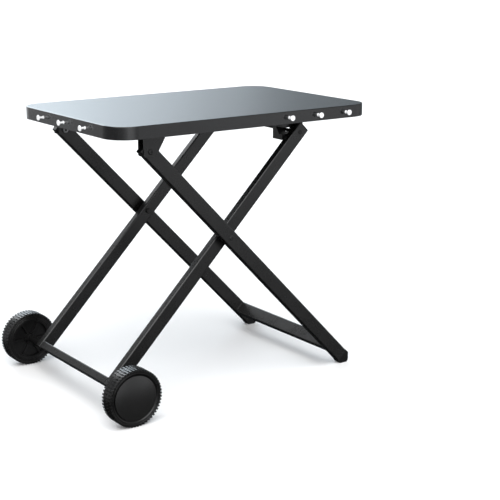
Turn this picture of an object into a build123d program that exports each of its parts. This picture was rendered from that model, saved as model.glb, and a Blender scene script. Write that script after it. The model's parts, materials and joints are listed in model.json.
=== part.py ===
"""Folding wheeled table: a sheet-steel top on a scissor frame, wheels at one end, feet at the other.

Origin on the floor, at the middle of the footprint. +X runs towards the feet, +Y to the left,
+Z up. All sizes in millimetres, drawn in the open position.
"""
import os
from math import cos, radians, sin, tan

from build123d import *

# Tabletop: a folded sheet pan
TOP_HEIGHT = 700.0
TOP_LENGTH = 754.0
TOP_WIDTH = 500.0
TOP_CORNER = 60.0
SKIRT_DEPTH = 31.0
SHEET = 1.5
LIP_WIDTH = 9.0
TOP_EDGE_RADIUS = 2.5

# Wheels and axle
WHEEL_RADIUS = 70.5
WHEEL_INNER_Y = 255.0
WHEEL_OUTER_Y = 293.0
TYRE_SHOULDER = 1.0
RIM_RADIUS = 52.0
RIM_WALL = 3.5
HUB_RADIUS = 14.0
HUB_INNER_Y = 253.0
HUB_OUTER_Y = 287.0
RIM_RIBS = 6
RIM_RIB_THICK = 4.4
RIM_WEB_DEPTH = 11.0
RIM_WEB_THICK = 3.0
HUBCAP_RADIUS = 55.0
HUBCAP_RISE = 5.0
HUBCAP_WALL = 2.0
AXLE_RADIUS = 6.0
AXLE_END_Y = 292.0
RUNNING_GAP = 0.05

# Scissor frame: the foot legs run outside the wheel legs
TUBE_THICK = 20.0
TUBE_WALL = 1.5
TUBE_CORNER = 3.0
FOOT_TUBE_DEPTH = 36.8
WHEEL_TUBE_DEPTH = 35.0
FOOT_LEG_OUTER_Y = 222.0
WHEEL_LEG_OUTER_Y = 191.5
FOOT_LEG_ANGLE = 46.1
WHEEL_LEG_ANGLE = 45.4
HINGE_TO_PIVOT = 329.0
ROD_TO_PIVOT = 334.0
HINGE_FROM_TOP_CENTRE = -272.5
HINGE_HEIGHT = 633.0
FOOT_LEG_OVERHANG = 16.5
WHEEL_LEG_OVERHANG = 18.0
FOOT_TUBE_END = 849.0
CROSSBAR_HEIGHT = 19.0
FOOT_CROSSBAR_AT = 802.5
ROD_RADIUS = 4.0

# Fasteners
BOLT_RADIUS = 4.0
HINGE_HEAD_RADIUS = 6.5
PIVOT_HEAD_RADIUS = 6.0
SCREW_RADIUS = 2.5
PLUG_INSERT = 10.0
CAP_INSERT = 22.0
PLUG_FLANGE = 2.0
PLUG_GAP = 0.15

# Brackets under the top
RAIL_WIDTH = 64.0
RAIL_DEPTH = 15.0
RAIL_FLANGE = 12.0
RAIL_HALF_LENGTH = 230.0
BRACKET_PLATE = 2.5
HINGE_EAR_GAP = 1.0
HINGE_SCREW_OFFSET = 24.0
HOOK_BACK_FROM_ROD = 42.0
HOOK_REACH_FROM_ROD = 24.0
HOOK_OUTER_Y = 170.0
HOOK_WIDTH = 39.0
HOOK_BOTTOM = 615.0
HOOK_SLOT_HEIGHT = 9.4

# Hanging pegs on the skirt
PEG_RADIUS = 2.5
PEG_HEAD_RADIUS = 6.8
PEG_HEAD_THICK = 3.2
PEG_REACH = 16.0
PEG_BELOW_TOP = 15.6
SIDE_PEGS_FROM_TOP_CENTRE = (110.0, 200.0, 290.0)
END_PEGS_Y = (-107.0, 0.0, 107.0)

# Derived places, measured from the middle of the tabletop
PIVOT_DX = HINGE_FROM_TOP_CENTRE + HINGE_TO_PIVOT * cos(radians(FOOT_LEG_ANGLE))
PIVOT_Z = HINGE_HEIGHT - HINGE_TO_PIVOT * sin(radians(FOOT_LEG_ANGLE))
PIVOT_TO_AXLE = (PIVOT_Z - WHEEL_RADIUS) / sin(radians(WHEEL_LEG_ANGLE))
AXLE_DX = PIVOT_DX - PIVOT_TO_AXLE * cos(radians(WHEEL_LEG_ANGLE))
ROD_DX = PIVOT_DX + ROD_TO_PIVOT * cos(radians(WHEEL_LEG_ANGLE))
ROD_Z = PIVOT_Z + ROD_TO_PIVOT * sin(radians(WHEEL_LEG_ANGLE))

# The footprint runs from the back of the wheels to the far edge of the top
TOP_X = (WHEEL_RADIUS - AXLE_DX - TOP_LENGTH / 2) / 2
HINGE_X = TOP_X + HINGE_FROM_TOP_CENTRE
PIVOT_X = TOP_X + PIVOT_DX
AXLE_X = TOP_X + AXLE_DX
ROD_X = TOP_X + ROD_DX
ROD_TO_AXLE = ROD_TO_PIVOT + PIVOT_TO_AXLE

FOOT_LEG_INNER_Y = FOOT_LEG_OUTER_Y - TUBE_THICK
WHEEL_LEG_INNER_Y = WHEEL_LEG_OUTER_Y - TUBE_THICK
SHEET_UNDERSIDE = TOP_HEIGHT - SHEET
SKIRT_BOTTOM = TOP_HEIGHT - SKIRT_DEPTH
RAIL_BOTTOM = SHEET_UNDERSIDE - RAIL_DEPTH
HINGE_RAIL_X = HINGE_X + 20.0
HOOK_RAIL_X = ROD_X - 9.0
PEG_Z = TOP_HEIGHT - PEG_BELOW_TOP
SKIRT_Y = TOP_WIDTH / 2
SKIRT_X = TOP_X - TOP_LENGTH / 2

# Each leg frame is drawn flat, with X down the leg, then set at its angle
FOOT_FRAME = Pos(HINGE_X, 0, HINGE_HEIGHT) * Rot(0, FOOT_LEG_ANGLE, 0)
WHEEL_FRAME = Pos(ROD_X, 0, ROD_Z) * Rot(0, 180 - WHEEL_LEG_ANGLE, 0)
SIDES = {"left": 1, "right": -1}


def y_cylinder(radius, x, z, y_from, y_to):
    """A round bar or hole along Y between two values of y."""
    middle = (y_from + y_to) / 2
    return Pos(x, middle, z) * Rot(90, 0, 0) * Cylinder(radius, abs(y_to - y_from))


def y_ring(outer, inner, x, z, y_from, y_to):
    """A washer or sleeve along Y."""
    return y_cylinder(outer, x, z, y_from, y_to) - y_cylinder(inner, x, z, y_from - 1, y_to + 1)


def y_hexagon(across_flats, x, z, y_from, y_to):
    """A hexagon nut blank along Y."""
    blank = extrude(RegularPolygon(across_flats / 2, 6, major_radius=False), y_to - y_from)
    return Pos(x, y_from, z) * Rot(-90, 0, 0) * blank


def plate_xz(outline, y_from, y_to, corner=0.0):
    """A plate cut to an outline in x and z, between two values of y."""
    plate = extrude(make_face(Polyline(*[(x, z) for x, z in outline], close=True)), y_to - y_from)
    if corner:
        plate = fillet(plate.edges().filter_by(Axis.Z), corner)
    return Pos(0, y_to, 0) * Rot(90, 0, 0) * plate


def boxed(x_range, y_range, z_range):
    """A plain block between two corners."""
    size = [b - a for a, b in (x_range, y_range, z_range)]
    centre = [(a + b) / 2 for a, b in (x_range, y_range, z_range)]
    return Pos(*centre) * Box(*size)


def leg_tube(x_from, x_to, depth, y_middle, holes):
    """A square-cut box tube along X, with cross holes given as (x, radius)."""
    outer = RectangleRounded(TUBE_THICK, depth, TUBE_CORNER)
    inner = RectangleRounded(TUBE_THICK - 2 * TUBE_WALL, depth - 2 * TUBE_WALL, TUBE_CORNER - TUBE_WALL)
    tube = Plane.YZ.offset(x_from) * extrude(outer - inner, x_to - x_from)
    for x, radius in holes:
        tube -= y_cylinder(radius, x, 0, -TUBE_THICK, TUBE_THICK)
    return Pos(0, y_middle, 0) * tube


def crossbar(x_middle, depth, half_length):
    """A flat box tube along Y, welded between two legs."""
    outer = RectangleRounded(CROSSBAR_HEIGHT, depth, 2.0)
    inner = RectangleRounded(CROSSBAR_HEIGHT - 2 * TUBE_WALL, depth - 2 * TUBE_WALL, 0.5)
    bar = extrude(outer - inner, half_length, both=True)
    return Pos(x_middle, 0, 0) * Rot(90, 0, 0) * bar


def tube_insert(x_from, x_to, depth):
    """A block along X that slips inside a leg tube."""
    clear = TUBE_WALL + PLUG_GAP
    section = RectangleRounded(TUBE_THICK - 2 * clear, depth - 2 * clear, TUBE_CORNER - clear + 0.2)
    return Plane.YZ.offset(x_from) * extrude(section, x_to - x_from)


def top_plug(x_end, depth, y_middle):
    """A plastic plug in the upper end of a leg tube."""
    section = RectangleRounded(TUBE_THICK, depth, TUBE_CORNER)
    flange = Plane.YZ.offset(x_end) * extrude(section, -PLUG_FLANGE)
    flange = fillet(flange.faces().sort_by(Axis.X)[0].edges(), 1.2)
    return Pos(0, y_middle, 0) * (flange + tube_insert(x_end, x_end + PLUG_INSERT, depth))


def tabletop_pan():
    """The sheet pan: flat top, rounded corners, skirt and an inward bottom lip."""
    outline = RectangleRounded(TOP_LENGTH, TOP_WIDTH, TOP_CORNER)
    pan = Pos(TOP_X, 0, SKIRT_BOTTOM) * extrude(outline, SKIRT_DEPTH)
    pan = fillet(pan.faces().sort_by(Axis.Z)[-1].edges(), TOP_EDGE_RADIUS)
    hollow = RectangleRounded(TOP_LENGTH - 2 * SHEET, TOP_WIDTH - 2 * SHEET, TOP_CORNER - SHEET)
    hollow = Pos(TOP_X, 0, SKIRT_BOTTOM + SHEET) * extrude(hollow, SKIRT_DEPTH - 2 * SHEET)
    hollow = fillet(hollow.faces().sort_by(Axis.Z)[-1].edges(), TOP_EDGE_RADIUS - SHEET)
    mouth = RectangleRounded(TOP_LENGTH - 2 * LIP_WIDTH, TOP_WIDTH - 2 * LIP_WIDTH, TOP_CORNER - LIP_WIDTH)
    mouth = Pos(TOP_X, 0, SKIRT_BOTTOM - 1) * extrude(mouth, SHEET + 2)
    pan = pan - hollow - mouth
    for dx in SIDE_PEGS_FROM_TOP_CENTRE:
        pan -= y_cylinder(PEG_RADIUS + RUNNING_GAP, TOP_X + dx, PEG_Z, -SKIRT_Y - 5, -SKIRT_Y + 5)
    for y in END_PEGS_Y:
        hole = Pos(SKIRT_X, y, PEG_Z) * Rot(0, 90, 0) * Cylinder(PEG_RADIUS + RUNNING_GAP, 10)
        pan -= hole
    return pan


def cross_rail(x_middle, screw_places):
    """A hat-section stiffener across the underside of the top."""
    body = boxed((-RAIL_WIDTH / 2, RAIL_WIDTH / 2), (-RAIL_HALF_LENGTH, RAIL_HALF_LENGTH),
                 (RAIL_BOTTOM, SHEET_UNDERSIDE))
    trough = boxed((SHEET - RAIL_WIDTH / 2, RAIL_WIDTH / 2 - SHEET),
                   (-RAIL_HALF_LENGTH - 1, RAIL_HALF_LENGTH + 1), (RAIL_BOTTOM + SHEET, SHEET_UNDERSIDE + 1))
    flange_reach = RAIL_WIDTH / 2 + RAIL_FLANGE
    flanges = boxed((-flange_reach, flange_reach), (-RAIL_HALF_LENGTH, RAIL_HALF_LENGTH),
                    (SHEET_UNDERSIDE - SHEET, SHEET_UNDERSIDE))
    rail = Pos(x_middle, 0, 0) * ((body + flanges) - trough)
    for x, y in screw_places:
        rail -= Pos(x, y, RAIL_BOTTOM) * Cylinder(SCREW_RADIUS + RUNNING_GAP, 8)
    return rail


def hinge_screw_places():
    """Where the hinge brackets are screwed to their rail."""
    y_leg = FOOT_LEG_OUTER_Y - TUBE_THICK / 2
    xs = (HINGE_RAIL_X - HINGE_SCREW_OFFSET, HINGE_RAIL_X + HINGE_SCREW_OFFSET)
    return [(x, side * y_leg) for x in xs for side in SIDES.values()]


def hook_screw_places():
    """Where the hook brackets are screwed to their rail."""
    y_middle = HOOK_OUTER_Y - HOOK_WIDTH / 2
    xs = (HOOK_RAIL_X - 20.0, HOOK_RAIL_X + 20.0)
    return [(x, side * y_middle) for x in xs for side in SIDES.values()]


def hinge_bracket(side):
    """A folded U bracket that straddles the top of a foot leg."""
    outer = FOOT_LEG_OUTER_Y + HINGE_EAR_GAP + BRACKET_PLATE
    inner = FOOT_LEG_INNER_Y - HINGE_EAR_GAP - BRACKET_PLATE
    outline = [(HINGE_X - 18, RAIL_BOTTOM), (HINGE_X - 18, HINGE_HEIGHT - 12),
               (HINGE_X + 12, HINGE_HEIGHT - 12), (HINGE_X + 24, HINGE_HEIGHT + 4),
               (HINGE_X + 52, RAIL_BOTTOM)]
    block = plate_xz(outline, inner, outer)
    low_edges = block.edges().filter_by(Axis.Y).group_by(Axis.Z)[0]
    block = fillet(low_edges, 6.0)
    gap = boxed((HINGE_X - 60, HINGE_X + 80), (inner + BRACKET_PLATE, outer - BRACKET_PLATE),
                (HINGE_HEIGHT - 40, RAIL_BOTTOM - BRACKET_PLATE))
    bolt_hole = y_cylinder(BOLT_RADIUS + RUNNING_GAP, HINGE_X, HINGE_HEIGHT, inner - 1, outer + 1)
    bracket = block - gap - bolt_hole
    bracket = bracket if side > 0 else mirror(bracket, Plane.XZ)
    for x, y in hinge_screw_places():
        bracket -= Pos(x, y, RAIL_BOTTOM) * Cylinder(SCREW_RADIUS + RUNNING_GAP, 8)
    return bracket


def hook_bracket(side):
    """A folded box bracket, open towards the feet, whose slotted ears take the top rod."""
    x_back = ROD_X - HOOK_BACK_FROM_ROD
    x_front = ROD_X + HOOK_REACH_FROM_ROD
    y_in = HOOK_OUTER_Y - HOOK_WIDTH
    arm_top = ROD_Z - HOOK_SLOT_HEIGHT / 2
    slot_top = ROD_Z + HOOK_SLOT_HEIGHT / 2
    outline = [(x_back, RAIL_BOTTOM), (x_back, HOOK_BOTTOM), (x_front - 14, HOOK_BOTTOM),
               (x_front, arm_top - 6), (x_front, RAIL_BOTTOM)]
    block = plate_xz(outline, y_in, HOOK_OUTER_Y)
    hollow = boxed((x_back + BRACKET_PLATE, x_front + 1),
                   (y_in + BRACKET_PLATE, HOOK_OUTER_Y - BRACKET_PLATE),
                   (HOOK_BOTTOM - 1, RAIL_BOTTOM - BRACKET_PLATE))
    slot_seat = y_cylinder(HOOK_SLOT_HEIGHT / 2, ROD_X, ROD_Z, y_in - 1, HOOK_OUTER_Y + 1)
    slot = boxed((ROD_X, x_front + 1), (y_in - 1, HOOK_OUTER_Y + 1), (arm_top, slot_top))
    lead_in = [(x_front - 6, ROD_Z), (x_front + 1, arm_top - 3), (x_front + 1, slot_top + 3)]
    bracket = block - hollow - slot_seat - slot - plate_xz(lead_in, y_in - 1, HOOK_OUTER_Y + 1)
    bracket -= hook_window(x_back, arm_top)
    bracket = bracket if side > 0 else mirror(bracket, Plane.XZ)
    for x, y in hook_screw_places():
        bracket -= Pos(x, y, RAIL_BOTTOM) * Cylinder(SCREW_RADIUS + RUNNING_GAP, 8)
    return bracket


def hook_window(x_back, z_low):
    """The slanting window that wraps the outer back corner of a hook bracket."""
    z_high = z_low + 18.0
    on_ear = boxed((x_back - 1, x_back + 25), (HOOK_OUTER_Y - BRACKET_PLATE - 0.1, HOOK_OUTER_Y + 1),
                   (z_low, z_high))
    on_web = [(HOOK_OUTER_Y - 12, z_low), (HOOK_OUTER_Y + 1, z_low), (HOOK_OUTER_Y + 1, z_high),
              (HOOK_OUTER_Y - 25, z_high)]
    profile = make_face(Polyline(*on_web, close=True))
    return on_ear + Plane.YZ.offset(x_back - 1) * extrude(profile, BRACKET_PLATE + 2)


def hanging_peg(x, y, turn):
    """A bright peg with a button head, its screwed end through the skirt; turn is about Z from -Y."""
    shaft = Cylinder(PEG_RADIUS, PEG_REACH + 9.0, align=(Align.CENTER, Align.CENTER, Align.MIN))
    shaft = Pos(0, 0, -9.0) * shaft
    head = Cylinder(PEG_HEAD_RADIUS, PEG_HEAD_THICK, align=(Align.CENTER, Align.CENTER, Align.MIN))
    head = Pos(0, 0, PEG_REACH - PEG_HEAD_THICK) * fillet(head.edges(), 1.3)
    collar = Cylinder(PEG_RADIUS + 1.4, 1.6, align=(Align.CENTER, Align.CENTER, Align.MIN))
    return Pos(x, y, PEG_Z) * Rot(0, 0, turn) * Rot(90, 0, 0) * (shaft + head + collar)


def peg_nut(x, y, turn):
    """The nut inside the skirt that holds a peg."""
    blank = extrude(RegularPolygon(4.0, 6, major_radius=False), 4.0)
    nut = Pos(0, 0, -SHEET - 4.0) * (blank - Cylinder(PEG_RADIUS + RUNNING_GAP, 20))
    return Pos(x, y, PEG_Z) * Rot(0, 0, turn) * Rot(90, 0, 0) * nut


def side_peg_places():
    """Pegs along the right-hand long edge."""
    return [(TOP_X + dx, -SKIRT_Y, 0) for dx in SIDE_PEGS_FROM_TOP_CENTRE]


def end_peg_places():
    """Pegs along the short edge above the wheels."""
    return [(SKIRT_X, y, -90) for y in END_PEGS_Y]


def bracket_screw(x, y):
    """A pan-head screw, with a cross recess, up through a bracket into its rail."""
    under = RAIL_BOTTOM - BRACKET_PLATE
    head = Pos(x, y, under - 2.8) * Cylinder(4.6, 2.8, align=(Align.CENTER, Align.CENTER, Align.MIN))
    head = fillet(head.faces().sort_by(Axis.Z)[0].edges(), 1.5)
    head -= Pos(x, y, under - 2.8) * (Box(4.6, 1.1, 2.6) + Box(1.1, 4.6, 2.6))
    shank = Pos(x, y, under) * Cylinder(SCREW_RADIUS, 9.0, align=(Align.CENTER, Align.CENTER, Align.MIN))
    return head + shank


def hinge_bolt(side):
    """The hinge bolt: button head outside, plain shank through bracket and leg."""
    outer = FOOT_LEG_OUTER_Y + HINGE_EAR_GAP + BRACKET_PLATE
    inner = FOOT_LEG_INNER_Y - HINGE_EAR_GAP - BRACKET_PLATE
    head = y_cylinder(HINGE_HEAD_RADIUS, HINGE_X, HINGE_HEIGHT, outer, outer + 3.6)
    head = fillet(head.faces().sort_by(Axis.Y)[-1].edges(), 2.2)
    head -= y_hexagon(5.0, HINGE_X, HINGE_HEIGHT, outer + 1.6, outer + 5)
    bolt = head + y_cylinder(BOLT_RADIUS, HINGE_X, HINGE_HEIGHT, inner - 4.6, outer)
    return bolt if side > 0 else mirror(bolt, Plane.XZ)


def hinge_nut(side):
    """The thin nut on the inside of a hinge bracket."""
    inner = FOOT_LEG_INNER_Y - HINGE_EAR_GAP - BRACKET_PLATE
    nut = y_hexagon(13.0, HINGE_X, HINGE_HEIGHT, inner - 4.6, inner)
    nut -= y_cylinder(BOLT_RADIUS + RUNNING_GAP, HINGE_X, HINGE_HEIGHT, inner - 6, inner + 1)
    return nut if side > 0 else mirror(nut, Plane.XZ)


def hinge_washers(side):
    """Two plastic washers that centre the leg in its bracket, running 0.1 clear of the leg."""
    washers = []
    for y_from, y_to in ((FOOT_LEG_OUTER_Y + 0.1, FOOT_LEG_OUTER_Y + HINGE_EAR_GAP),
                         (FOOT_LEG_INNER_Y - HINGE_EAR_GAP, FOOT_LEG_INNER_Y - 0.1)):
        washer = y_ring(8.0, BOLT_RADIUS + RUNNING_GAP, HINGE_X, HINGE_HEIGHT, y_from, y_to)
        washers.append(washer if side > 0 else mirror(washer, Plane.XZ))
    return washers


def foot_leg(side):
    """A foot leg, from its hinge down to the cap at the floor."""
    y_middle = side * (FOOT_LEG_OUTER_Y - TUBE_THICK / 2)
    holes = [(0, BOLT_RADIUS + RUNNING_GAP), (HINGE_TO_PIVOT, BOLT_RADIUS + RUNNING_GAP)]
    return FOOT_FRAME * leg_tube(-FOOT_LEG_OVERHANG, FOOT_TUBE_END, FOOT_TUBE_DEPTH, y_middle, holes)


def foot_cap(side):
    """The gabled plastic foot: its lower slope lies flat on the floor."""
    half = FOOT_TUBE_DEPTH / 2 + 0.3
    apex = HINGE_HEIGHT / sin(radians(FOOT_LEG_ANGLE))
    shoulder = apex - half / tan(radians(FOOT_LEG_ANGLE))
    outline = [(FOOT_TUBE_END, -half), (shoulder, -half), (apex, 0), (shoulder, half), (FOOT_TUBE_END, half)]
    half_thick = TUBE_THICK / 2 + 0.3
    cap = plate_xz(outline, -half_thick, half_thick)
    tip = cap.edges().filter_by(Axis.Y).sort_by(Axis.X)[-1]
    cap = fillet(tip, 9.0)
    shoulders = [e for e in cap.edges().filter_by(Axis.Y) if abs(e.center().X - shoulder) < 0.01]
    cap = fillet(shoulders, 4.0)
    insert = tube_insert(FOOT_TUBE_END - CAP_INSERT, FOOT_TUBE_END, FOOT_TUBE_DEPTH)
    y_middle = side * (FOOT_LEG_OUTER_Y - TUBE_THICK / 2)
    return FOOT_FRAME * Pos(0, y_middle, 0) * (cap + insert)


def foot_crossbar():
    """The bar between the foot legs: the pulling handle when the table is folded."""
    return FOOT_FRAME * crossbar(FOOT_CROSSBAR_AT, FOOT_TUBE_DEPTH - 1.8, FOOT_LEG_INNER_Y)


def foot_leg_plugs():
    """Plugs in the upper ends of the foot legs."""
    y_middle = FOOT_LEG_OUTER_Y - TUBE_THICK / 2
    return [FOOT_FRAME * top_plug(-FOOT_LEG_OVERHANG, FOOT_TUBE_DEPTH, side * y_middle)
            for side in SIDES.values()]


def wheel_leg(side):
    """A wheel leg, from above the top rod down to the axle."""
    y_middle = side * (WHEEL_LEG_OUTER_Y - TUBE_THICK / 2)
    holes = [(0, ROD_RADIUS + RUNNING_GAP), (ROD_TO_PIVOT, BOLT_RADIUS + RUNNING_GAP),
             (ROD_TO_AXLE, AXLE_RADIUS + RUNNING_GAP)]
    end = ROD_TO_AXLE + CROSSBAR_HEIGHT / 2
    return WHEEL_FRAME * leg_tube(-WHEEL_LEG_OVERHANG, end, WHEEL_TUBE_DEPTH, y_middle, holes)


def wheel_leg_plugs():
    """Plugs in the upper ends of the wheel legs."""
    y_middle = WHEEL_LEG_OUTER_Y - TUBE_THICK / 2
    return [WHEEL_FRAME * top_plug(-WHEEL_LEG_OVERHANG, WHEEL_TUBE_DEPTH, side * y_middle)
            for side in SIDES.values()]


def axle_crossbar():
    """The bar between the lower ends of the wheel legs, with the axle inside it."""
    return WHEEL_FRAME * crossbar(ROD_TO_AXLE, WHEEL_TUBE_DEPTH, WHEEL_LEG_INNER_Y)


def top_rod():
    """The rod that hooks under the top, with a riveted head at each end."""
    rod = y_cylinder(ROD_RADIUS, ROD_X, ROD_Z, -WHEEL_LEG_OUTER_Y, WHEEL_LEG_OUTER_Y)
    for side in SIDES.values():
        face = side * WHEEL_LEG_OUTER_Y
        head = y_cylinder(ROD_RADIUS + 1.5, ROD_X, ROD_Z, *sorted((face, face + side * 1.8)))
        far = head.faces().sort_by(Axis.Y)[-1 if side > 0 else 0]
        rod += fillet(far.edges(), 1.2)
    return rod


def pivot_bolt(side):
    """The scissor pivot: flat head outside the foot leg, shank through both legs."""
    y_head = FOOT_LEG_OUTER_Y + 0.9
    head = y_cylinder(PIVOT_HEAD_RADIUS, PIVOT_X, PIVOT_Z, y_head, y_head + 2.2)
    head = fillet(head.faces().sort_by(Axis.Y)[-1].edges(), 1.5)
    head -= y_hexagon(4.0, PIVOT_X, PIVOT_Z, y_head + 0.9, y_head + 3.0)
    bolt = head + y_cylinder(BOLT_RADIUS, PIVOT_X, PIVOT_Z, WHEEL_LEG_INNER_Y - 6.4, y_head)
    return bolt if side > 0 else mirror(bolt, Plane.XZ)


def pivot_washer(side):
    """The washer under the pivot head, 0.1 clear of the leg."""
    washer = y_ring(8.0, BOLT_RADIUS + RUNNING_GAP, PIVOT_X, PIVOT_Z, FOOT_LEG_OUTER_Y + 0.1,
                    FOOT_LEG_OUTER_Y + 0.9)
    return washer if side > 0 else mirror(washer, Plane.XZ)


def pivot_spacer(side):
    """The spacer that keeps the two legs apart, 0.1 clear of the foot leg."""
    spacer = y_ring(9.0, BOLT_RADIUS + RUNNING_GAP, PIVOT_X, PIVOT_Z, WHEEL_LEG_OUTER_Y,
                    FOOT_LEG_INNER_Y - 0.1)
    return spacer if side > 0 else mirror(spacer, Plane.XZ)


def pivot_nut(side):
    """The lock nut on the inside of the wheel leg."""
    nut = y_hexagon(13.0, PIVOT_X, PIVOT_Z, WHEEL_LEG_INNER_Y - 6.4, WHEEL_LEG_INNER_Y)
    nut -= y_cylinder(BOLT_RADIUS + RUNNING_GAP, PIVOT_X, PIVOT_Z, 0, FOOT_LEG_OUTER_Y)
    return nut if side > 0 else mirror(nut, Plane.XZ)


def axle():
    """The full-width steel axle."""
    bar = y_cylinder(AXLE_RADIUS, AXLE_X, WHEEL_RADIUS, -AXLE_END_Y, AXLE_END_Y)
    return chamfer(bar.edges().filter_by(GeomType.CIRCLE), 0.8)


def axle_spacer(side):
    """The sleeve that holds a wheel out beyond the top."""
    sleeve = y_ring(10.0, AXLE_RADIUS + RUNNING_GAP, AXLE_X, WHEEL_RADIUS, WHEEL_LEG_OUTER_Y,
                    HUB_INNER_Y - 0.3)
    return sleeve if side > 0 else mirror(sleeve, Plane.XZ)


def axle_washer(side):
    """The washer outside a hub."""
    washer = y_ring(11.0, AXLE_RADIUS + RUNNING_GAP, AXLE_X, WHEEL_RADIUS, HUB_OUTER_Y + 0.3,
                    HUB_OUTER_Y + 1.5)
    return washer if side > 0 else mirror(washer, Plane.XZ)


def axle_cap(side):
    """The push-on retaining nut at the end of the axle."""
    cap = y_ring(9.0, AXLE_RADIUS + RUNNING_GAP, AXLE_X, WHEEL_RADIUS, HUB_OUTER_Y + 1.5,
                 AXLE_END_Y - 1.0)
    return cap if side > 0 else mirror(cap, Plane.XZ)


def on_wheel(shape, side):
    """Stand a wheel piece, drawn with Z as its axis, on the axle at one side."""
    placed = Pos(AXLE_X, 0, WHEEL_RADIUS) * Rot(-90, 0, 0) * shape
    return placed if side > 0 else mirror(placed, Plane.XZ)


def tyre(side):
    """The tread ring: square shoulders, a hollowed outer sidewall."""
    corners = [(RIM_RADIUS, WHEEL_INNER_Y), (WHEEL_RADIUS - TYRE_SHOULDER, WHEEL_INNER_Y),
               (WHEEL_RADIUS, WHEEL_INNER_Y + TYRE_SHOULDER),
               (WHEEL_RADIUS, WHEEL_OUTER_Y - TYRE_SHOULDER),
               (WHEEL_RADIUS - TYRE_SHOULDER, WHEEL_OUTER_Y), (HUBCAP_RADIUS + 4, WHEEL_OUTER_Y),
               (HUBCAP_RADIUS + 1, WHEEL_OUTER_Y - 3.5), (RIM_RADIUS, WHEEL_OUTER_Y - 3.5)]
    section = Plane.XZ * make_face(Polyline(*corners, close=True))
    return on_wheel(revolve(section, Axis.Z), side)


def wheel_rim(side):
    """The moulded wheel centre: barrel, web, hub and radial ribs through the web."""
    barrel_y = (WHEEL_INNER_Y + 1.5, WHEEL_OUTER_Y - 3.5)
    barrel = Pos(0, 0, barrel_y[0]) * Cylinder(RIM_RADIUS, barrel_y[1] - barrel_y[0],
                                               align=(Align.CENTER, Align.CENTER, Align.MIN))
    web_y = WHEEL_INNER_Y + RIM_WEB_DEPTH
    bowl = Pos(0, 0, web_y) * Cylinder(RIM_RADIUS - RIM_WALL, RIM_WEB_DEPTH + 1,
                                       align=(Align.CENTER, Align.CENTER, Align.MAX))
    recess = Pos(0, 0, web_y + RIM_WEB_THICK) * Cylinder(RIM_RADIUS - RIM_WALL, 30,
                                                         align=(Align.CENTER, Align.CENTER, Align.MIN))
    hub = Pos(0, 0, HUB_INNER_Y) * Cylinder(HUB_RADIUS, HUB_OUTER_Y - HUB_INNER_Y,
                                            align=(Align.CENTER, Align.CENTER, Align.MIN))
    rim = barrel - bowl - recess + hub
    for k in range(RIM_RIBS):
        rib = boxed((HUB_RADIUS - 1, RIM_RADIUS - 1), (-RIM_RIB_THICK / 2, RIM_RIB_THICK / 2),
                    (WHEEL_INNER_Y + 4.0, HUB_OUTER_Y - 2.0))
        rim += Rot(0, 0, 360.0 * k / RIM_RIBS) * rib
    rim -= Pos(0, 0, 200) * Cylinder(AXLE_RADIUS + RUNNING_GAP, 200)
    return on_wheel(rim, side)


def hubcap(side):
    """The domed cap over the hub, clipped into the barrel by a ring."""
    edge_y = WHEEL_OUTER_Y - 3.5
    rim_y = edge_y + 2.5
    sphere_r = (HUBCAP_RADIUS ** 2 + HUBCAP_RISE ** 2) / (2 * HUBCAP_RISE)
    shell = Pos(0, 0, edge_y) * Cylinder(HUBCAP_RADIUS, rim_y - edge_y + HUBCAP_RISE,
                                         align=(Align.CENTER, Align.CENTER, Align.MIN))
    ball = Rot(90, 0, 0) * Sphere(sphere_r)
    shell = shell & (Pos(0, 0, rim_y + HUBCAP_RISE - sphere_r) * ball)
    inside_r = RIM_RADIUS - RIM_WALL - HUBCAP_WALL
    inside = Pos(0, 0, edge_y - 1) * Cylinder(inside_r, rim_y - edge_y + HUBCAP_RISE,
                                              align=(Align.CENTER, Align.CENTER, Align.MIN))
    inside = inside & (Pos(0, 0, rim_y + HUBCAP_RISE - HUBCAP_WALL - sphere_r) * ball)
    clip = Cylinder(RIM_RADIUS - RIM_WALL - 0.1, 2.3, align=(Align.CENTER, Align.CENTER, Align.MAX))
    clip -= Cylinder(inside_r, 6.0)
    return on_wheel((shell - inside) + Pos(0, 0, edge_y) * clip, side)


def write(name, shapes):
    """Write one sub-part, or a group of like fasteners, to its STEP file."""
    solids = shapes if isinstance(shapes, list) else [shapes]
    whole = solids[0] if len(solids) == 1 else Compound(children=solids)
    export_step(whole, "parts/" + name + ".step")


def both(piece):
    """The left and right copies of a piece, as one group."""
    return [piece(side) for side in SIDES.values()]


os.makedirs("parts", exist_ok=True)

for side_name, side_sign in SIDES.items():
    write("foot_leg_" + side_name, foot_leg(side_sign))
    write("foot_cap_" + side_name, foot_cap(side_sign))
    write("wheel_leg_" + side_name, wheel_leg(side_sign))
    write("hinge_bracket_" + side_name, hinge_bracket(side_sign))
    write("hook_bracket_" + side_name, hook_bracket(side_sign))
    write("tyre_" + side_name, tyre(side_sign))
    write("wheel_rim_" + side_name, wheel_rim(side_sign))
    write("hubcap_" + side_name, hubcap(side_sign))

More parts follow.
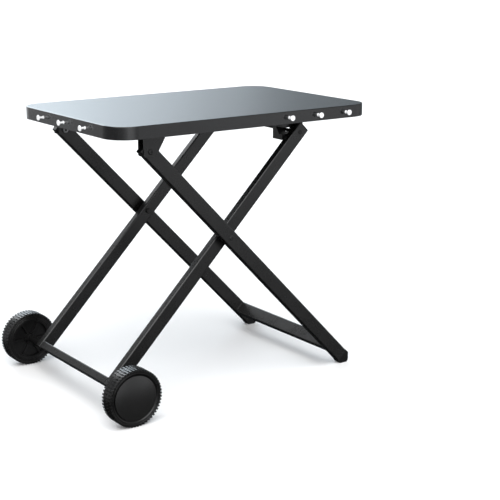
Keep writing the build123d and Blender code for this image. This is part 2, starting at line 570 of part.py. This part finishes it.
write("tabletop_pan", tabletop_pan())
write("hinge_rail", cross_rail(HINGE_RAIL_X, hinge_screw_places()))
write("hook_rail", cross_rail(HOOK_RAIL_X, hook_screw_places()))
write("bracket_screws", [bracket_screw(x, y) for x, y in hinge_screw_places() + hook_screw_places()])
write("side_pegs", [hanging_peg(*place) for place in side_peg_places()])
write("end_pegs", [hanging_peg(*place) for place in end_peg_places()])
write("peg_nuts", [peg_nut(*place) for place in side_peg_places() + end_peg_places()])
write("hinge_bolts", both(hinge_bolt))
write("hinge_nuts", both(hinge_nut))
write("hinge_washers", hinge_washers(1) + hinge_washers(-1))
write("foot_crossbar", foot_crossbar())
write("foot_leg_plugs", foot_leg_plugs())
write("wheel_leg_plugs", wheel_leg_plugs())
write("axle_crossbar", axle_crossbar())
write("top_rod", top_rod())
write("pivot_bolts", both(pivot_bolt))
write("pivot_washers", both(pivot_washer))
write("pivot_spacers", both(pivot_spacer))
write("pivot_nuts", both(pivot_nut))
write("axle", axle())
write("axle_spacers", both(axle_spacer))
write("axle_washers", both(axle_washer))
write("axle_caps", both(axle_cap))
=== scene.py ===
"""Looks of the folding wheeled table: camera, studio, materials and detail pieces round the CAD frame."""
import json
import math

import bmesh
import bpy
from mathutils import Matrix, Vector


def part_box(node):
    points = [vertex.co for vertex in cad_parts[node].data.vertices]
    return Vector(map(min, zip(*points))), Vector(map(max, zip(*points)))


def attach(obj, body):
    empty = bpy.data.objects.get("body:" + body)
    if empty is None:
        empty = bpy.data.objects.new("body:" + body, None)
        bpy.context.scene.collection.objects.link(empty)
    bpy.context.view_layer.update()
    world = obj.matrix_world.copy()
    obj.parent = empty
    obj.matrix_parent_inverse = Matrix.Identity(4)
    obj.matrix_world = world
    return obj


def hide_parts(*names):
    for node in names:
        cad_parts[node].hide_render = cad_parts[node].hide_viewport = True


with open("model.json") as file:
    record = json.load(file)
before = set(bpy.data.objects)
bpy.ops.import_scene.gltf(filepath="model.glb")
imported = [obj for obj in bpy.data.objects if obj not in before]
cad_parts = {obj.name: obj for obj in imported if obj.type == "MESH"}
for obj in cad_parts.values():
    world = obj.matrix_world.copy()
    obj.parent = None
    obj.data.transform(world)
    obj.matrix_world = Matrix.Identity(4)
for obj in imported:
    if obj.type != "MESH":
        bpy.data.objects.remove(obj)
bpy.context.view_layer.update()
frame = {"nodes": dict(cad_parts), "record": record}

NODES = frame["nodes"]
SLOT_OF = {part["node"]: part["material_slot"] for part in frame["record"]["subparts"]}
MM = 0.001

# Camera, in metres and degrees
CAMERA_AT = Vector((-1.70450, -2.65817, 1.11367))
CAMERA_YAW = 35.618
CAMERA_PITCH = 14.147
CAMERA_LENS = 89.394
SENSOR_WIDTH = 36.0
CAMERA_FAR_CLIP = 200.0

# Room brightness, as (compass turn in degrees from +Y towards +X, level)
WALLS = ((-180.0, 1.45), (-165.0, 1.60), (-150.0, 0.80), (-135.0, 0.42), (-105.0, 0.22), (-60.0, 0.24),
         (-31.0, 0.40), (-24.0, 0.68), (-8.0, 1.10), (18.0, 1.30), (26.0, 1.22), (31.0, 0.94), (34.0, 0.70),
         (38.0, 0.32), (44.0, 0.18), (85.0, 0.25), (118.0, 0.70), (138.0, 0.80), (143.0, 0.96), (148.0, 0.82),
         (153.0, 0.60), (162.0, 0.60), (172.0, 1.10), (180.0, 1.45))
# Room brightness, as (sine of the angle above the horizon, share of the wall's level)
HEIGHTS = ((-1.0, 0.0), (-0.50, 0.02), (-0.36, 0.05), (-0.27, 0.22), (-0.20, 0.74), (-0.13, 1.0), (0.0, 1.05),
           (0.20, 1.0), (0.40, 0.58), (0.60, 0.48), (1.0, 0.70))
# Where the room's light is cool, as (compass turn in degrees, share)
COOL_SIDE = ((-180.0, 0.0), (-5.0, 0.0), (18.0, 1.0), (50.0, 1.0), (90.0, 0.0), (180.0, 0.0))
NEUTRAL = (0.97, 0.98, 1.0, 1.0)
COOL = (0.82, 0.92, 1.0, 1.0)
BACKDROP = (1.0, 1.0, 1.0, 1.0)
# A soft light panel: compass turn and height of its middle, then its full and its bright radius, in degrees
PANEL_TOWARDS = (16.0, 31.0)
PANEL_REACH = 25.0
PANEL_CORE = 12.0
PANEL_STRENGTH = 4.2
SUN_DIRECTION = (0.45, 0.55, -1.0)
SUN_STRENGTH = 3.4
SUN_SPREAD = 80.0

# Floor, in metres
FLOOR_HALF_SIZE = 45.0
FLOOR_SQUARES = 8
FLOOR_COLOUR = (0.93, 0.93, 0.93, 1.0)
FLOOR_ROUGHNESS = 0.9
FLOOR_SPECULAR = 0.1

# Finishes: how the noises are used in every material
COLOUR_NOISE_RANGE = (0.32, 0.68)
SPECK_SCALE = 0.35
SPECK_SHARE = 0.35
HAZE_SCALE = 3.1
HAZE_RANGE = (0.3, 0.7)
EDGE_FACING_RANGE = (0.985, 0.80)
# Noise range that breaks up the edge tint, which is partly wear and partly a painted highlight
EDGE_WEAR_AND_HIGHLIGHT_NOISE_RANGE = (0.50, 0.64)
PIT_SCALE = 0.8
BRUSH_STRETCH = (3.0, 260.0, 260.0)
BRUSH_SCALE = 7.0
BRUSH_RANGE = (0.35, 0.75)

# Tyre, in millimetres: y is measured outwards from the wheel's inner face
LUGS = 54
SHOULDER_SHARE = 0.31
CENTRE_SHARE = 0.42
CENTRE_SKEW = 0.004
LUG_DRAFT = 0.04
TREAD_RADIUS = 70.45
GROOVE_RADIUS = 67.9
LUG_FOOT_RADIUS = GROOVE_RADIUS - 1.2
TYRE_WIDTH = 38.0
BEAD_RADIUS = 52.1
WALL_Y = 0.9
LIP_Y = TYRE_WIDTH - 3.6
LATHE_STEPS = 162
TYRE_ROUNDING = 0.2

# Welds, in millimetres and radians
FOOT_LEG_ANGLE = math.radians(46.1)
WHEEL_LEG_ANGLE = math.radians(180.0 - 45.4)
CROSSBAR_HALF_HEIGHT = 9.5
WELD_HALF_LENGTH = 14.5
WELD_RADIUS = 1.7
BEAD_STEP = 0.45
BEAD_SIDES = 10
BEAD_END_SHARE = 0.35
BEAD_TAPER = 9.0
RIPPLE_SHARE = 0.13
RIPPLE_RATE = 2.9
SHEET_THICK = 1.5
SPOT_FROM_EDGE = 6.0
SPOTS_PER_ROW = 9
SPOT_SIDES = 20
SPOT_PROFILE = ((3.4, -0.05), (3.2, 0.18), (2.4, 0.30), (1.9, 0.12), (0.8, 0.08))


def nodes_of(tree):
    """Empty a node tree and return a short-hand for adding nodes to it."""
    tree.nodes.clear()

    def add(kind, **settings):
        made = tree.nodes.new(kind)
        for key, value in settings.items():
            setattr(made, key, value)
        return made
    return add


# ---------------------------------------------------------------- camera, floor and light
def make_camera():
    data = bpy.data.cameras.new("camera")
    data.lens = CAMERA_LENS
    data.sensor_width = SENSOR_WIDTH
    data.clip_end = CAMERA_FAR_CLIP
    camera = bpy.data.objects.new("camera", data)
    camera.location = CAMERA_AT
    camera.rotation_euler = (math.radians(90.0 - CAMERA_PITCH), 0.0, math.radians(-CAMERA_YAW))
    bpy.context.scene.collection.objects.link(camera)
    bpy.context.scene.camera = camera


def curve_of(add, link, source, low, high, stops):
    """A smooth curve through (position, value) stops, looked up with a value from low to high."""
    place = add("ShaderNodeMapRange")
    place.inputs["From Min"].default_value = low
    place.inputs["From Max"].default_value = high
    ramp = add("ShaderNodeValToRGB")
    ramp.color_ramp.interpolation = "EASE"
    marks = ramp.color_ramp.elements
    while len(marks) < len(stops):
        marks.new(0.5)
    peak = max(value for _, value in stops)
    for mark, (position, value) in zip(marks, stops):
        mark.position = (position - low) / (high - low)
        mark.color = (value / peak, value / peak, value / peak, 1.0)
    scaled = add("ShaderNodeMath", operation="MULTIPLY")
    scaled.inputs[1].default_value = peak
    link(source, place.inputs["Value"])
    link(place.outputs["Result"], ramp.inputs["Fac"])
    link(ramp.outputs["Color"], scaled.inputs[0])
    return scaled.outputs["Value"]


def turn_curve(add, link, turn, stops):
    """A curve round the compass, through stops given in degrees, looked up with a turn in radians."""
    in_radians = [(math.radians(angle), value) for angle, value in stops]
    return curve_of(add, link, turn, -math.pi, math.pi, in_radians)


def panel_direction():
    """The direction of the middle of the light panel."""
    turn, rise = (math.radians(angle) for angle in PANEL_TOWARDS)
    return (math.sin(turn) * math.cos(rise), math.cos(turn) * math.cos(rise), math.sin(rise))


def make_world():
    """A soft room with one overhead panel, dimmer near the ground, behind a pale backdrop."""
    world = bpy.data.worlds.new("room")
    world.use_nodes = True
    bpy.context.scene.world = world
    tree = world.node_tree
    add = nodes_of(tree)
    link = tree.links.new
    coords = add("ShaderNodeTexCoord")
    split = add("ShaderNodeSeparateXYZ")
    link(coords.outputs["Generated"], split.inputs[0])
    turn = add("ShaderNodeMath", operation="ARCTAN2")
    link(split.outputs["X"], turn.inputs[0])
    link(split.outputs["Y"], turn.inputs[1])
    wall = turn_curve(add, link, turn.outputs["Value"], WALLS)
    cool = turn_curve(add, link, turn.outputs["Value"], COOL_SIDE)
    height = curve_of(add, link, split.outputs["Z"], -1.0, 1.0, HEIGHTS)
    walls = add("ShaderNodeMath", operation="MULTIPLY")
    link(wall, walls.inputs[0])
    link(height, walls.inputs[1])
    towards = add("ShaderNodeVectorMath", operation="DOT_PRODUCT")
    towards.inputs[1].default_value = panel_direction()
    link(coords.outputs["Generated"], towards.inputs[0])
    panel = add("ShaderNodeMapRange", interpolation_type="SMOOTHSTEP")
    panel.inputs["From Min"].default_value = math.cos(math.radians(PANEL_REACH))
    panel.inputs["From Max"].default_value = math.cos(math.radians(PANEL_CORE))
    panel.inputs["To Max"].default_value = PANEL_STRENGTH
    link(towards.outputs["Value"], panel.inputs["Value"])
    level = add("ShaderNodeMath", operation="ADD")
    link(walls.outputs["Value"], level.inputs[0])
    link(panel.outputs["Result"], level.inputs[1])
    room = add("ShaderNodeBackground")
    tint = add("ShaderNodeMix", data_type="RGBA")
    tint.inputs["A"].default_value = NEUTRAL
    tint.inputs["B"].default_value = COOL
    link(cool, tint.inputs["Factor"])
    link(tint.outputs["Result"], room.inputs["Color"])
    link(level.outputs["Value"], room.inputs["Strength"])
    backdrop = add("ShaderNodeBackground")
    backdrop.inputs["Color"].default_value = BACKDROP
    path = add("ShaderNodeLightPath")
    choose = add("ShaderNodeMixShader")
    out = add("ShaderNodeOutputWorld")
    link(path.outputs["Is Camera Ray"], choose.inputs[0])
    link(room.outputs[0], choose.inputs[1])
    link(backdrop.outputs[0], choose.inputs[2])
    link(choose.outputs[0], out.inputs["Surface"])


def make_sun():
    """A very broad lamp, like a large softbox a long way off."""
    data = bpy.data.lights.new("key_softbox", "SUN")
    data.energy = SUN_STRENGTH
    data.angle = math.radians(SUN_SPREAD)
    lamp = bpy.data.objects.new("key_softbox", data)
    lamp.rotation_euler = Vector(SUN_DIRECTION).to_track_quat("-Z", "Y").to_euler()
    bpy.context.scene.collection.objects.link(lamp)


def make_floor():
    """A plain pale floor, left out of glossy reflections."""
    mesh = bpy.data.meshes.new("floor")
    made = bmesh.new()
    bmesh.ops.create_grid(made, x_segments=FLOOR_SQUARES, y_segments=FLOOR_SQUARES,
                          size=FLOOR_HALF_SIZE)
    made.to_mesh(mesh)
    made.free()
    floor = bpy.data.objects.new("floor", mesh)
    bpy.context.scene.collection.objects.link(floor)
    material = bpy.data.materials.new("pale_floor")
    material.use_nodes = True
    add = nodes_of(material.node_tree)
    shader = add("ShaderNodeBsdfPrincipled")
    shader.inputs["Base Color"].default_value = FLOOR_COLOUR
    shader.inputs["Roughness"].default_value = FLOOR_ROUGHNESS
    shader.inputs["Specular IOR Level"].default_value = FLOOR_SPECULAR
    out = add("ShaderNodeOutputMaterial")
    material.node_tree.links.new(shader.outputs[0], out.inputs["Surface"])
    mesh.materials.append(material)
    floor.visible_glossy = False


# ---------------------------------------------------------------- materials
def finish_material(name, dark, light, roughness, spread, grain, grain_height, edge_colour, edge_width,
                    edge_share, mottle=9.0, metallic=0.0, ior=1.5, coat=0.0, coat_roughness=0.1, pits=0.0,
                    scratch=0.0):
    """A procedural finish: mottled colour, uneven roughness, a fine grain in relief, and a tint along the
    edges that is partly wear and partly a painted highlight, lighter than the coat on the dark finishes.

    Lengths (grain height, edge width, pits) are in millimetres; pits and scratch are left out at zero.
    """
    material = bpy.data.materials.new(name)
    material.use_nodes = True
    tree = material.node_tree
    add = nodes_of(tree)
    link = tree.links.new
    shader = add("ShaderNodeBsdfPrincipled")
    shader.inputs["Metallic"].default_value = metallic
    shader.inputs["IOR"].default_value = ior
    shader.inputs["Coat Weight"].default_value = coat
    shader.inputs["Coat Roughness"].default_value = coat_roughness
    out = add("ShaderNodeOutputMaterial")
    link(shader.outputs[0], out.inputs["Surface"])
    place = add("ShaderNodeTexCoord").outputs["Object"]

    def noise(scale, detail, where):
        made = add("ShaderNodeTexNoise")
        made.inputs["Scale"].default_value = scale
        made.inputs["Detail"].default_value = detail
        link(where, made.inputs["Vector"])
        return made

    def spread_over(source, given, wanted):
        made = add("ShaderNodeMapRange")
        made.inputs["From Min"].default_value, made.inputs["From Max"].default_value = given
        made.inputs["To Min"].default_value, made.inputs["To Max"].default_value = wanted
        link(source, made.inputs["Value"])
        return made.outputs["Result"]

    cloud = noise(mottle, 5.0, place)
    speck = noise(grain * SPECK_SCALE, 2.0, place)
    blend = add("ShaderNodeMix", data_type="FLOAT")
    blend.inputs["Factor"].default_value = SPECK_SHARE
    link(cloud.outputs["Fac"], blend.inputs["A"])
    link(speck.outputs["Fac"], blend.inputs["B"])
    ramp = add("ShaderNodeValToRGB")
    for mark, position, shade in zip(ramp.color_ramp.elements, COLOUR_NOISE_RANGE, (dark, light)):
        mark.position = position
        mark.color = (*shade, 1.0)
    link(blend.outputs["Result"], ramp.inputs["Fac"])

    haze = noise(mottle * HAZE_SCALE, 6.0, place)
    haze.inputs["Roughness"].default_value = 0.6
    rough = spread_over(haze.outputs["Fac"], HAZE_RANGE, (roughness - spread, roughness + spread))

    # Edge tint: edge_colour mixed in along the bevelled edges and broken up by noise; partly wear, partly a
    # painted highlight on the dark coats
    rounded = add("ShaderNodeBevel", samples=4)
    rounded.inputs["Radius"].default_value = edge_width * MM
    flat = add("ShaderNodeNewGeometry")
    facing = add("ShaderNodeVectorMath", operation="DOT_PRODUCT")
    link(rounded.outputs["Normal"], facing.inputs[0])
    link(flat.outputs["Normal"], facing.inputs[1])
    edge_wear_and_highlight = add("ShaderNodeMath", operation="MULTIPLY")
    link(spread_over(facing.outputs["Value"], EDGE_FACING_RANGE, (0.0, 1.0)), edge_wear_and_highlight.inputs[0])
    link(spread_over(haze.outputs["Fac"], EDGE_WEAR_AND_HIGHLIGHT_NOISE_RANGE, (0.0, edge_share)), edge_wear_and_highlight.inputs[1])
    tint = add("ShaderNodeMix", data_type="RGBA")
    tint.inputs["B"].default_value = (*edge_colour, 1.0)
    link(edge_wear_and_highlight.outputs["Value"], tint.inputs["Factor"])
    link(ramp.outputs["Color"], tint.inputs["A"])
    link(tint.outputs["Result"], shader.inputs["Base Color"])

    relief = noise(grain, 3.0, place)
    bump = add("ShaderNodeBump")
    bump.inputs["Strength"].default_value = 1.0
    bump.inputs["Distance"].default_value = grain_height * MM
    link(relief.outputs["Fac"], bump.inputs["Height"])
    link(rounded.outputs["Normal"], bump.inputs["Normal"])
    normal = bump.outputs["Normal"]
    if pits:
        cells = add("ShaderNodeTexVoronoi")
        cells.inputs["Scale"].default_value = grain * PIT_SCALE
        link(place, cells.inputs["Vector"])
        pitted = add("ShaderNodeBump")
        pitted.inputs["Distance"].default_value = pits * MM
        link(cells.outputs["Distance"], pitted.inputs["Height"])
        link(normal, pitted.inputs["Normal"])
        normal = pitted.outputs["Normal"]
    if scratch:
        stretch = add("ShaderNodeMapping")
        stretch.inputs["Scale"].default_value = BRUSH_STRETCH
        link(place, stretch.inputs["Vector"])
        lines = noise(BRUSH_SCALE, 2.0, stretch.outputs["Vector"])
        summed = add("ShaderNodeMath", operation="ADD", use_clamp=True)
        link(rough, summed.inputs[0])
        link(spread_over(lines.outputs["Fac"], BRUSH_RANGE, (0.0, scratch)), summed.inputs[1])
        rough = summed.outputs["Value"]
    link(rough, shader.inputs["Roughness"])
    link(normal, shader.inputs["Normal"])
    return material


def grey(value):
    return (value, value, value)


def make_materials():
    """Every finish, by the name of its material slot."""
    return {
        # Each edge_colour is an edge tint, partly wear and partly a painted highlight: on the dark coats it
        # is far lighter than the coat itself
        "top_coat": finish_material(
            "top_coat", (0.0054, 0.0056, 0.0060), (0.0078, 0.0081, 0.0087), 0.20, 0.02, 650.0, 0.003,
            mottle=5.0, edge_colour=(0.035, 0.036, 0.038), edge_width=0.8, edge_share=0.5, coat=0.35,
            coat_roughness=0.12),
        "frame_coat": finish_material(
            "frame_coat", grey(0.0030), grey(0.0054), 0.28, 0.04, 1100.0, 0.007,
            edge_colour=grey(0.040), edge_width=0.8, edge_share=0.6, ior=1.62),
        "black_plastic": finish_material(
            "black_plastic", grey(0.0015), grey(0.0032), 0.40, 0.06, 1500.0, 0.012,
            edge_colour=grey(0.020), edge_width=0.7, edge_share=0.6, ior=1.42),
        "gloss_cap": finish_material(
            "gloss_cap", grey(0.0085), grey(0.0108), 0.24, 0.03, 900.0, 0.004,
            edge_colour=grey(0.025), edge_width=0.6, edge_share=0.5, ior=1.6),
        "tyre": finish_material(
            "tyre", grey(0.0016), grey(0.0034), 0.30, 0.06, 1300.0, 0.006, mottle=20.0,
            edge_colour=grey(0.012), edge_width=0.4, edge_share=0.6, pits=0.002, ior=1.5),
        "chrome_peg": finish_material(
            "chrome_peg", (0.82, 0.82, 0.83), (0.90, 0.90, 0.91), 0.22, 0.04, 700.0, 0.002,
            edge_colour=(0.75, 0.76, 0.78), edge_width=0.4, edge_share=0.5, metallic=0.1),
        "zinc": finish_material(
            "zinc", (0.36, 0.37, 0.39), (0.52, 0.53, 0.54), 0.36, 0.06, 900.0, 0.006, mottle=60.0,
            edge_colour=(0.65, 0.65, 0.66), edge_width=0.4, edge_share=0.8, metallic=1.0, scratch=0.12),
        "black_steel": finish_material(
            "black_steel", grey(0.012), grey(0.022), 0.32, 0.05, 900.0, 0.006, mottle=40.0,
            edge_colour=grey(0.12), edge_width=0.5, edge_share=0.9, metallic=0.4),
        "nylon": finish_material(
            "nylon", grey(0.015), grey(0.022), 0.5, 0.05, 1200.0, 0.008,
            edge_colour=grey(0.05), edge_width=0.4, edge_share=0.6),
    }


def dress(piece, material):
    """Give an object one material through its own slots, so that a CAD mesh stays as it is."""
    if not piece.material_slots:
        piece.data.materials.append(None)
    for place in piece.material_slots:
        place.link = "OBJECT"
        place.material = material


# ---------------------------------------------------------------- pieces
def make_piece(name, made, slot, body, smooth_degrees=35.0):
    """Turn a bmesh into a finished piece that rides on a body."""
    bmesh.ops.recalc_face_normals(made, faces=made.faces)
    mesh = bpy.data.meshes.new(name)
    made.to_mesh(mesh)
    made.free()
    mesh.shade_smooth()
    mesh.set_sharp_from_angle(angle=math.radians(smooth_degrees))
    piece = bpy.data.objects.new(name, mesh)
    bpy.context.scene.collection.objects.link(piece)
    dress(piece, MATERIALS[slot])
    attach(piece, body)
    return piece


def soften(piece, width):
    """Round a piece's hard edges a little, in millimetres."""
    bevel = piece.modifiers.new("rounded_edges", "BEVEL")
    bevel.width = width * MM
    bevel.segments = 2
    bevel.limit_method = "ANGLE"
    bevel.angle_limit = math.radians(35.0)
    bevel.harden_normals = True


class Wheel:
    """Points round one wheel's axle, given as (radius, turn, y outwards from the inner face)."""

    def __init__(self, side):
        low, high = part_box("tyre_" + side)
        self.centre_x = (low.x + high.x) / 2
        self.centre_z = (low.z + high.z) / 2
        self.inner_y = low.y if side == "left" else high.y
        self.sign = 1.0 if side == "left" else -1.0

    def at(self, radius, turn, y):
        return Vector((self.centre_x + radius * MM * math.cos(turn), self.inner_y + self.sign * y * MM,
                       self.centre_z + radius * MM * math.sin(turn)))


def bridge(made, ring, following):
    """Join two closed rings of vertices with a band of faces."""
    for i in range(len(ring)):
        j = (i + 1) % len(ring)
        made.faces.new((ring[i], ring[j], following[j], following[i]))


def capped_stack(made, rings):
    """Join a run of rings into one closed solid."""
    for ring, following in zip(rings, rings[1:]):
        bridge(made, ring, following)
    made.faces.new(list(reversed(rings[0])))
    made.faces.new(rings[-1])


def circle(sides):
    """The turns of evenly spaced points round a circle."""
    return [2 * math.pi * k / sides for k in range(sides)]


def lathe(made, wheel, profile, steps):
    """Sweep a closed profile of (radius, y) once round the axle."""
    rings = [[made.verts.new(wheel.at(r, turn, y)) for r, y in profile] for turn in circle(steps)]
    for k, ring in enumerate(rings):
        bridge(made, ring, rings[(k + 1) % steps])


def lug(made, wheel, turn, half_turn, section, draft, skew):
    """One tread block, from (radius, y, on top) points across it; skew is its extra turn per millimetre."""
    middle_y = sum(y for _, y, _ in section) / len(section)
    flanks = []
    for share in (-1.0, 1.0):
        flank = []
        for r, y, raised in section:
            half = half_turn - (draft if raised else 0.0)
            flank.append(made.verts.new(wheel.at(r, turn + share * half + skew * (y - middle_y), y)))
        flanks.append(flank)
    first, last = flanks
    bridge(made, first, last)
    made.faces.new(first)
    made.faces.new(list(reversed(last)))


def tread_rows():
    """Each row across the tread: its section as (radius, y, on top), its share of the pitch and its skew."""
    shoulder = [(LUG_FOOT_RADIUS, 8.9, False), (TREAD_RADIUS, 8.6, True), (TREAD_RADIUS, 0.6, True),
                (TREAD_RADIUS - 0.5, 0.1, True), (TREAD_RADIUS - 5.4, 0.1, True),
                (TREAD_RADIUS - 6.4, 1.6, False)]
    centre = [(LUG_FOOT_RADIUS, 9.5, False), (TREAD_RADIUS, 9.8, True), (TREAD_RADIUS, 18.4, True),
              (LUG_FOOT_RADIUS, 18.7, False)]
    rows = [(shoulder, SHOULDER_SHARE, 0.0), (centre, CENTRE_SHARE, CENTRE_SKEW)]
    for section, share, skew in reversed(rows[:]):
        rows.append(([(r, TYRE_WIDTH - y, top) for r, y, top in section], share, -skew))
    return rows


def make_tyre(side):
    """The whole tyre: a moulded ring with ridged sidewalls and four rows of fine tread blocks."""
    wheel = Wheel(side)
    made = bmesh.new()
    rib = [(BEAD_RADIUS, WALL_Y), (55.0, WALL_Y), (55.4, WALL_Y - 0.6), (56.6, WALL_Y - 0.6), (57.0, WALL_Y)]
    wall = [(61.4, WALL_Y), (61.8, WALL_Y + 0.5), (63.0, WALL_Y + 0.5), (63.4, WALL_Y), (66.8, WALL_Y),
            (GROOVE_RADIUS, WALL_Y + 1.0)]
    outer_wall = [(r, TYRE_WIDTH - y) for r, y in reversed(wall)]
    lip = [(59.2, TYRE_WIDTH - WALL_Y), (58.2, TYRE_WIDTH - 1.4), (56.6, TYRE_WIDTH - 3.2), (55.6, LIP_Y),
           (BEAD_RADIUS, LIP_Y)]
    lathe(made, wheel, rib + wall + outer_wall + lip, LATHE_STEPS)
    pitch = 2 * math.pi / LUGS
    for section, share, skew in tread_rows():
        for k in range(LUGS):
            lug(made, wheel, pitch * k, pitch * share, section, pitch * LUG_DRAFT, skew)
    piece = make_piece("tyre_tread_" + side, made, "tyre", "wheel_" + side, 32.0)
    soften(piece, TYRE_ROUNDING)
    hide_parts("tyre_" + side)


def weld_bead(made, start, end, radius):
    """A rippled fillet bead between two points, with tapered ends."""
    along = (end - start).normalized()
    side = along.orthogonal().normalized()
    other = along.cross(side)
    length = (end - start).length
    steps = round(length / (BEAD_STEP * MM))
    rings = []
    for k in range(steps + 1):
        share = k / steps
        taper = min(1.0, BEAD_END_SHARE + BEAD_TAPER * min(share, 1.0 - share))
        ripple = 1.0 + RIPPLE_SHARE * math.sin(length * share / MM * RIPPLE_RATE)
        swell = radius * taper * ripple
        centre = start + along * (length * share)
        rings.append([made.verts.new(centre + (side * math.cos(a) + other * math.sin(a)) * swell)
                      for a in circle(BEAD_SIDES)])
    capped_stack(made, rings)


def make_bar_welds(name, bar, leg_angle, body):
    """Beads along the wide faces of a crossbar, where each end meets its leg."""
    low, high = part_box(bar)
    centre = (low + high) / 2
    down_leg = Vector((math.cos(leg_angle), 0.0, -math.sin(leg_angle)))
    across_leg = Vector((math.sin(leg_angle), 0.0, math.cos(leg_angle)))
    made = bmesh.new()
    for face_y in (low.y, high.y):
        for share in (-1.0, 1.0):
            foot = Vector((centre.x, face_y, centre.z)) + down_leg * (share * CROSSBAR_HALF_HEIGHT * MM)
            reach = across_leg * (WELD_HALF_LENGTH * MM)
            weld_bead(made, foot - reach, foot + reach, WELD_RADIUS * MM)
    make_piece(name, made, "frame_coat", body, 60.0)


def make_spot_welds(name, rail):
    """Two rows of shallow spot-weld buttons under a rail's flanges."""
    low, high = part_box(rail)
    under = high.z - SHEET_THICK * MM
    made = bmesh.new()
    for x in (low.x + SPOT_FROM_EDGE * MM, high.x - SPOT_FROM_EDGE * MM):
        for k in range(SPOTS_PER_ROW):
            y = low.y + (high.y - low.y) * (k + 0.5) / SPOTS_PER_ROW
            rings = [[made.verts.new((x + radius * MM * math.cos(a), y + radius * MM * math.sin(a),
                                      under - drop * MM)) for a in circle(SPOT_SIDES)]
                     for radius, drop in SPOT_PROFILE]
            capped_stack(made, rings)
    make_piece(name, made, "frame_coat", "tabletop", 60.0)


# ---------------------------------------------------------------- the scene
MATERIALS = make_materials()

make_camera()
make_world()
make_sun()
make_floor()

for node_name, node in NODES.items():
    dress(node, MATERIALS[SLOT_OF[node_name]])

for side_name in ("left", "right"):
    make_tyre(side_name)
make_bar_welds("foot_crossbar_welds", "foot_crossbar", FOOT_LEG_ANGLE, "foot_frame")
make_bar_welds("axle_crossbar_welds", "axle_crossbar", WHEEL_LEG_ANGLE, "wheel_frame")
make_spot_welds("hinge_rail_spot_welds", "hinge_rail")
make_spot_welds("hook_rail_spot_welds", "hook_rail")

bpy.context.scene.view_settings.view_transform = "Standard"
